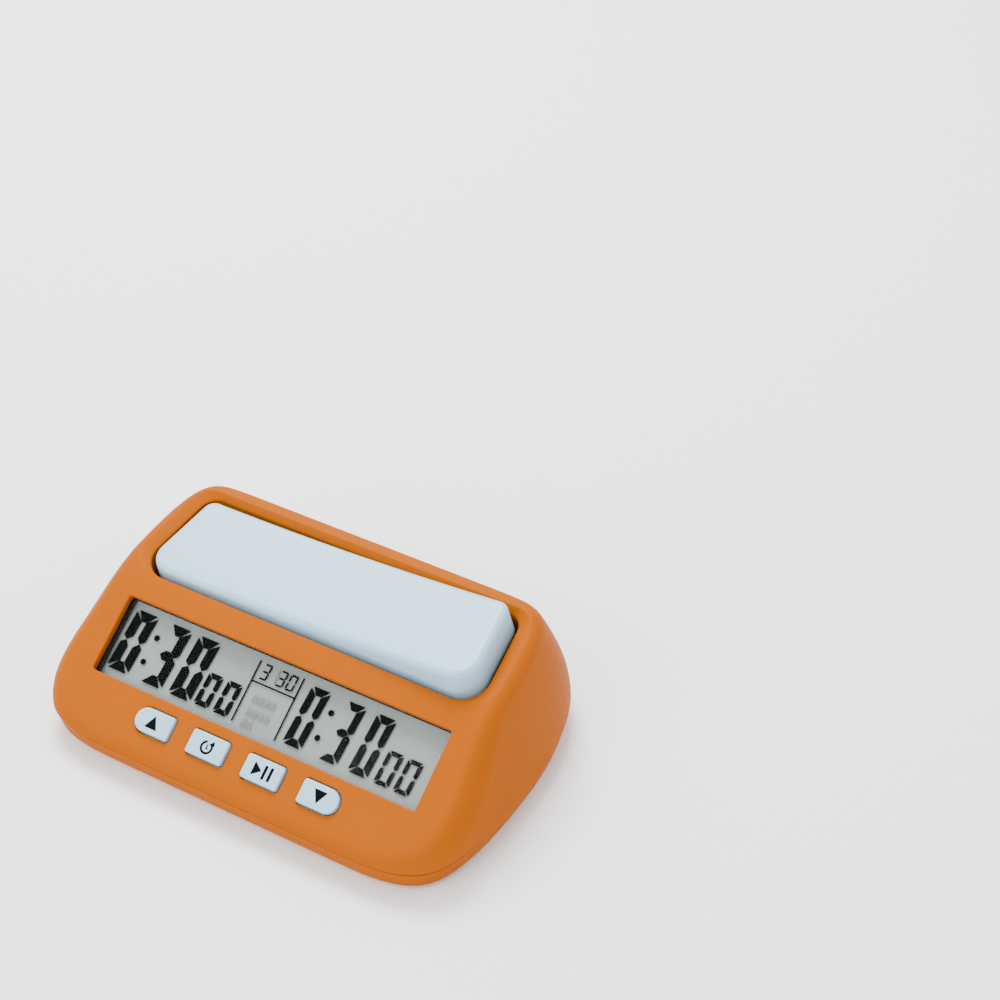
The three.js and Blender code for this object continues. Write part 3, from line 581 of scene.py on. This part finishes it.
def arc_band(x, y, radius, stroke, start, end, steps=28):
    angles = np.radians(np.linspace(start, end, steps))
    edges = []
    for reach in (radius + stroke / 2, radius - stroke / 2):
        edges.append([(x + reach * math.cos(a), y + reach * math.sin(a)) for a in angles])
    outer, inner = edges
    return outer + inner[::-1]


def key_symbol(index):
    """The black mark on a key: up, reset clock, start and pause, down."""
    x, y = (index - 1.5) * KEY["pitch"], KEY["y"]
    half, tall = 2.15, 2.0
    shapes = (
        [[(x - half, y - tall), (x + half, y - tall), (x, y + tall)]],
        [
            arc_band(x, y - 0.2, 1.75, 0.72, 105, 408),
            [(x + 0.35, y + 0.75), (x + 2.3, y + 0.75), (x + 1.75, y + 2.25)],
            bar(x - 0.2, x + 0.2, y - 0.35, y + 0.75),
            bar(x - 0.2, x + 0.75, y - 0.7, y - 0.35),
        ],
        [
            [(x - 3.1, y - 2.1), (x - 0.2, y), (x - 3.1, y + 2.1)],
            bar(x + 0.4, x + 1.35, y - 2.1, y + 2.1),
            bar(x + 2.35, x + 3.3, y - 2.1, y + 2.1),
        ],
        [[(x - half, y + tall), (x, y - tall), (x + half, y + tall)]],
    )[index]
    high = KEY["proud"] + 0.03
    prints = [prism(shape, high - 0.08, high) for shape in shapes]
    return joined("key_symbol_" + KEY_NAMES[index], prints, PANEL_FRAME)


# ---- lever

def lever_ring(inset, z):
    """One ring of the lever's skin. Above its skirt the skin sags towards the middle of the lever."""
    outline = lever_outline(LEVER, inset, spans=(48, 10, 48, 10), steps=14)
    share = np.clip((z - LEVER_SKIRT) / (LEVER_TOP - LEVER_EDGE - LEVER_SKIRT), 0, 1)
    middle = 1 - (outline[:, 0] / LEVER["front_half"]) ** 2
    return np.column_stack([outline, z - LEVER_DIP * middle * share])


def lid_rings(rim, shares):
    """Rings that run from a rim in towards a line along the lever's middle, which stops short of its ends."""
    reach = np.abs(rim[:, 0]).max() - LEVER_END
    spine = rim.copy()
    spine[:, 0] = np.clip(rim[:, 0], -reach, reach)
    spine[:, 1] = PIVOT_Y
    spine[:, 2] += LEVER_DIP * (spine[:, 0] ** 2 - rim[:, 0] ** 2) / LEVER["front_half"] ** 2
    return [rim + (spine - rim) * share for share in shares]


def lever_cap():
    top, edge, draft, wall = LEVER_TOP, LEVER_EDGE, LEVER_DRAFT, LEVER_WALL
    ceiling = lever_ring(wall + draft, top) - (0, 0, wall)
    inner = lid_rings(ceiling, (1, 0.5, 0)) + [lever_ring(wall, LEVER_FOOT)]
    levels = ((0.35, LEVER_FOOT), (0, LEVER_FOOT + 0.35), (draft / 2, LEVER_SKIRT), (draft, top - edge))
    outer = [lever_ring(inset, z) for inset, z in levels]
    for turn in np.radians([10, 20, 30, 40, 50, 60, 70, 80, 90]):
        outer.append(lever_ring(draft + edge * (1 - math.cos(turn)), top - edge * (1 - math.sin(turn))))
    outer += lid_rings(outer[-1], (0.2, 0.4, 0.6, 0.8, 1))
    hub = box_mesh(*HUB, LEVER_FOOT, top - LEVER_DIP - wall / 2)
    return joined("lever_cap", [skin(inner + outer, closed_ends=False), hub], LEVER_FRAME)


# ---- underside pieces

def door_panel():
    x0, x1, y0, y1, top = DOOR
    full = rectangle(x0, x1, y0, y1, 1.0)
    rings = [
        at_height(rectangle(x0 + 0.3, x1 - 0.3, y0 + 0.3, y1 - 0.3, 0.8), BASE_Z),
        at_height(rectangle(x0 + 0.08, x1 - 0.08, y0 + 0.08, y1 - 0.08, 0.9), BASE_Z + 0.1),
        at_height(full, BASE_Z + 0.35),
        at_height(full, top),
    ]
    door = mesh_object("door_panel", *skin(rings))
    dish = [at_height(rectangle(-7 + i, 7 - i, y0 + 1.6 + i, y0 + 7 - i, 2.4 - i), z)
            for i, z in ((-0.5, 0.8), (0, BASE_Z + 0.05), (0.4, BASE_Z + 0.6), (0.9, BASE_Z + 0.8))]
    cut(door, [mesh_object("cutter", *skin(dish))])
    ribs = [box_mesh(-4.6, 4.6, y0 + y, y0 + y + 0.5, BASE_Z + 0.15, BASE_Z + 1.0) for y in (3.1, 4.2, 5.3)]
    return merged("door_panel", [door, joined("ribs", ribs)])


def foot_pad(index):
    x, y = FEET[index]
    profile = [(0.4, 0.0), (4.2, 0.0), (4.6, 0.08), (4.9, 0.3), (5.0, 0.7), (5.0, 1.9)]
    return mesh_object(f"foot_pad_{index + 1}", *skin(disc_rings(x, y, profile)))


def screw_head(index):
    x, y = CASE_SCREWS[index]
    seat = BASE_Z + 0.1
    rises = ((0.5, 0), (1.6, 0.03), (2.1, 0.18), (2.35, 0.45), (2.4, 0.8), (2.4, 1.6))
    profile = [(radius, seat + rise) for radius, rise in rises]
    head = mesh_object(f"screw_head_{index + 1}", *skin(disc_rings(x, y, profile)))
    turn = Matrix.Translation((x, y, 0)) @ Matrix.Rotation(0.6 + index, 4, "Z")
    slots = [mesh_object("cutter", *box_mesh(-1.5, 1.5, -0.28, 0.28, 0, seat + 0.9), turn),
             mesh_object("cutter", *box_mesh(-0.28, 0.28, -1.5, 1.5, 0, seat + 0.9), turn)]
    cut(head, slots)
    shaft = mesh_object("shaft", *skin(disc_rings(x, y, ((1.25, seat + 1.5), (1.25, 10.5)), 20)))
    return merged(head.name, [head, shaft])


def knob():
    start = POWER[0] - 1.3
    y = POWER[1]
    rings = [at_height(rectangle(start - 1.7 + i, start + 1.7 - i, y - 1.2 + i, y + 1.2 - i, 0.45), z)
             for i, z in ((0.3, BASE_Z + 0.2), (0.1, BASE_Z + 0.28), (0, BASE_Z + 0.5), (0, FLOOR_TOP + 3))]
    return mesh_object("switch_knob", *skin(rings))


# ---- materials

def linear(rgb):
    """sRGB 0-255 to the linear values the shader takes."""
    values = [v / 255 for v in rgb]
    return [v / 12.92 if v <= 0.04045 else ((v + 0.055) / 1.055) ** 2.4 for v in values] + [1.0]


def grained(name, rgb, roughness, grain=0.35, depth=0.02, tone=0.04, spread=0.08, mottle=9.0,
            metallic=0.0, alpha=1.0, shine=0.5):
    """A moulded or worked surface: slow colour drift, patchy gloss and a fine grain of this size in mm."""
    material = bpy.data.materials.new(name)
    material.use_nodes = True
    nodes, links = material.node_tree.nodes, material.node_tree.links
    shader = nodes["Principled BSDF"]
    shader.inputs["Metallic"].default_value = metallic
    shader.inputs["Alpha"].default_value = alpha
    shader.inputs["Specular IOR Level"].default_value = shine
    place = nodes.new("ShaderNodeTexCoord").outputs["Object"]

    def noise(size, detail):
        node = nodes.new("ShaderNodeTexNoise")
        node.inputs["Scale"].default_value = 1 / (size * MM)
        node.inputs["Detail"].default_value = detail
        links.new(place, node.inputs["Vector"])
        return node.outputs["Fac"]

    drift = noise(mottle, 3)
    colour = nodes.new("ShaderNodeMix")
    colour.data_type = "RGBA"
    base = linear(rgb)
    colour.inputs["A"].default_value = [c * (1 - tone) for c in base[:3]] + [1]
    colour.inputs["B"].default_value = [min(c * (1 + tone), 1) for c in base[:3]] + [1]
    links.new(drift, colour.inputs["Factor"])
    links.new(colour.outputs["Result"], shader.inputs["Base Color"])
    patch = nodes.new("ShaderNodeMapRange")
    patch.inputs["From Min"].default_value = 0.3
    patch.inputs["From Max"].default_value = 0.7
    patch.inputs["To Min"].default_value = max(roughness - spread, 0.02)
    patch.inputs["To Max"].default_value = roughness + spread
    links.new(noise(mottle / 6, 4), patch.inputs["Value"])
    links.new(patch.outputs["Result"], shader.inputs["Roughness"])
    bump = nodes.new("ShaderNodeBump")
    bump.inputs["Strength"].default_value = 1.0
    bump.inputs["Distance"].default_value = depth * MM
    links.new(noise(grain, 2), bump.inputs["Height"])
    links.new(bump.outputs["Normal"], shader.inputs["Normal"])
    return material


def materials():
    """Every material of the clock: colour in sRGB, roughness, and what sets its grain."""
    looks = {
        "orange_case": ((162, 80, 0), 0.5, {"grain": 0.5, "depth": 0.012, "tone": 0.03, "shine": 0.03}),
        "white_plastic": ((159, 198, 219), 0.34, {
            "grain": 0.8, "depth": 0.008, "tone": 0.012, "spread": 0.05, "shine": 0.35,
        }),
        "clear_window": ((20, 22, 24), 0.06, {
            "grain": 6, "depth": 0.002, "tone": 0.01, "spread": 0.02, "alpha": 0.07,
        }),
        "black_foam": ((26, 26, 28), 0.85, {"grain": 0.4, "depth": 0.08, "tone": 0.2}),
        "lcd": ((150, 160, 156), 0.5, {
            "grain": 0.25, "depth": 0.004, "tone": 0.03, "mottle": 14, "shine": 0.2,
        }),
        "lcd_ink": ((4, 4, 7), 0.6, {"grain": 0.3, "depth": 0.004, "tone": 0.15, "shine": 0.02}),
        "lcd_ghost": ((126, 129, 126), 0.5, {"grain": 0.3, "depth": 0.004, "tone": 0.05}),
        "key_ink": ((9, 10, 12), 0.6, {"grain": 0.2, "depth": 0.004, "tone": 0.15, "shine": 0.03}),
        "zebra": ((60, 62, 66), 0.7, {"grain": 0.2, "depth": 0.03, "tone": 0.3, "mottle": 0.5}),
        "circuit_board": ((40, 98, 62), 0.4, {"grain": 1.2, "depth": 0.03, "tone": 0.25, "mottle": 2.5}),
        "black_plastic": ((34, 34, 36), 0.45, {"grain": 0.3, "depth": 0.01, "tone": 0.15}),
        "red_plastic": ((138, 48, 48), 0.45, {"grain": 0.3, "depth": 0.01, "tone": 0.08}),
        "steel": ((190, 192, 196), 0.3, {
            "grain": 0.15, "depth": 0.006, "tone": 0.06, "metallic": 1.0, "mottle": 1.5,
        }),
        "cell_label": ((62, 94, 140), 0.3, {"grain": 1.5, "depth": 0.01, "tone": 0.08}),
        "red_lead": ((176, 34, 32), 0.45, {"grain": 0.6, "depth": 0.02, "tone": 0.06}),
        "black_lead": ((30, 30, 30), 0.5, {"grain": 0.6, "depth": 0.02, "tone": 0.15}),
        "grey_lead": ((196, 196, 196), 0.5, {"grain": 0.6, "depth": 0.02, "tone": 0.06}),
        "foot_rubber": ((46, 46, 48), 0.8, {"grain": 0.25, "depth": 0.03, "tone": 0.2}),
    }
    return {name: grained(name, rgb, roughness, **detail) for name, (rgb, roughness, detail) in looks.items()}


# ---- assembly

def dress(thing, body, material, slot, *nodes):
    """Gives a piece its material and the CAD body and nodes that it stands for."""
    thing.data.materials.clear()
    thing.data.materials.append(material)
    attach(thing, body)
    if nodes:
        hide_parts(*nodes)


def assemble(looks):
    for name, node in frame["nodes"].items():
        slot = next(s["material_slot"] for s in frame["record"]["subparts"] if s["node"] == name)
        node.data.materials.clear()
        node.data.materials.append(looks[slot])
    orange, white = looks["orange_case"], looks["white_plastic"]
    dress(upper_case(), "casing", orange, "orange_case", "upper_shell")
    dress(lower_case(), "casing", orange, "orange_case", "lower_shell")
    dress(door_panel(), "battery_door", orange, "orange_case", "battery_door")
    dress(lever_cap(), "lever", white, "white_plastic", "lever")
    dress(display_window(), "casing", looks["clear_window"], "clear_window", "display_window")
    dress(lcd_panel(), "casing", looks["lcd"], "lcd", "lcd_glass")
    dress(lcd_digits(), "casing", looks["lcd_ink"], "lcd")
    dress(lcd_ghosts(), "casing", looks["lcd_ghost"], "lcd")
    dress(knob(), "power_knob", looks["black_plastic"], "black_plastic", "power_knob")
    for i, name in enumerate(KEY_NAMES):
        dress(key_cap(i), "key_" + name, white, "white_plastic", "key_" + name)
        dress(key_symbol(i), "key_" + name, looks["key_ink"], "black_plastic")
    for i in range(4):
        dress(foot_pad(i), "casing", looks["foot_rubber"], "foot_rubber", f"foot_{i + 1}")
        dress(screw_head(i), "casing", looks["steel"], "steel", f"case_screw_{i + 1}")


# ---- stage

def make_floor():
    size = 3000
    floor = mesh_object("floor", *box_mesh(-size, size, -size, size, -20, 0))
    paint = grained("floor_paint", (252, 252, 252), 0.9, grain=3, depth=0.0, tone=0.002, mottle=90)
    floor.data.materials.append(paint)


def area_light(name, place, target, size, power, colour=(1, 1, 1)):
    light = bpy.data.lights.new(name, "AREA")
    light.shape = "DISK"
    light.size = size
    light.energy = power
    light.color = colour
    lamp = bpy.data.objects.new(name, light)
    lamp.location = place
    lamp.rotation_euler = (Vector(target) - Vector(place)).to_track_quat("-Z", "Y").to_euler()
    bpy.context.scene.collection.objects.link(lamp)


def make_lights():
    area_light("key_light", (-0.4, 0.5, 1.0), (0, 0, 0.02), 0.6, 24)
    area_light("fill_light", (-0.3, -0.9, 0.9), (0, 0, 0.02), 0.9, 10)
    world = bpy.data.worlds.new("studio")
    world.use_nodes = True
    world.node_tree.nodes["Background"].inputs["Color"].default_value = (1, 1, 1, 1)
    world.node_tree.nodes["Background"].inputs["Strength"].default_value = 1.5
    bpy.context.scene.world = world


def make_camera():
    lens = bpy.data.cameras.new("camera")
    lens.sensor_width = 36
    lens.lens = 72.69
    lens.clip_start = 0.01
    camera = bpy.data.objects.new("camera", lens)
    right = Vector((0.86273, 0.50563, -0.00639))
    up = Vector((-0.3155, 0.54811, 0.77462))
    back = right.cross(up)
    turn = Matrix((right, up, back)).transposed()
    camera.matrix_world = Matrix.Translation((0.27174, -0.34917, 0.44134)) @ turn.to_4x4()
    bpy.context.scene.collection.objects.link(camera)
    bpy.context.scene.camera = camera


make_camera()
make_lights()
make_floor()
assemble(materials())
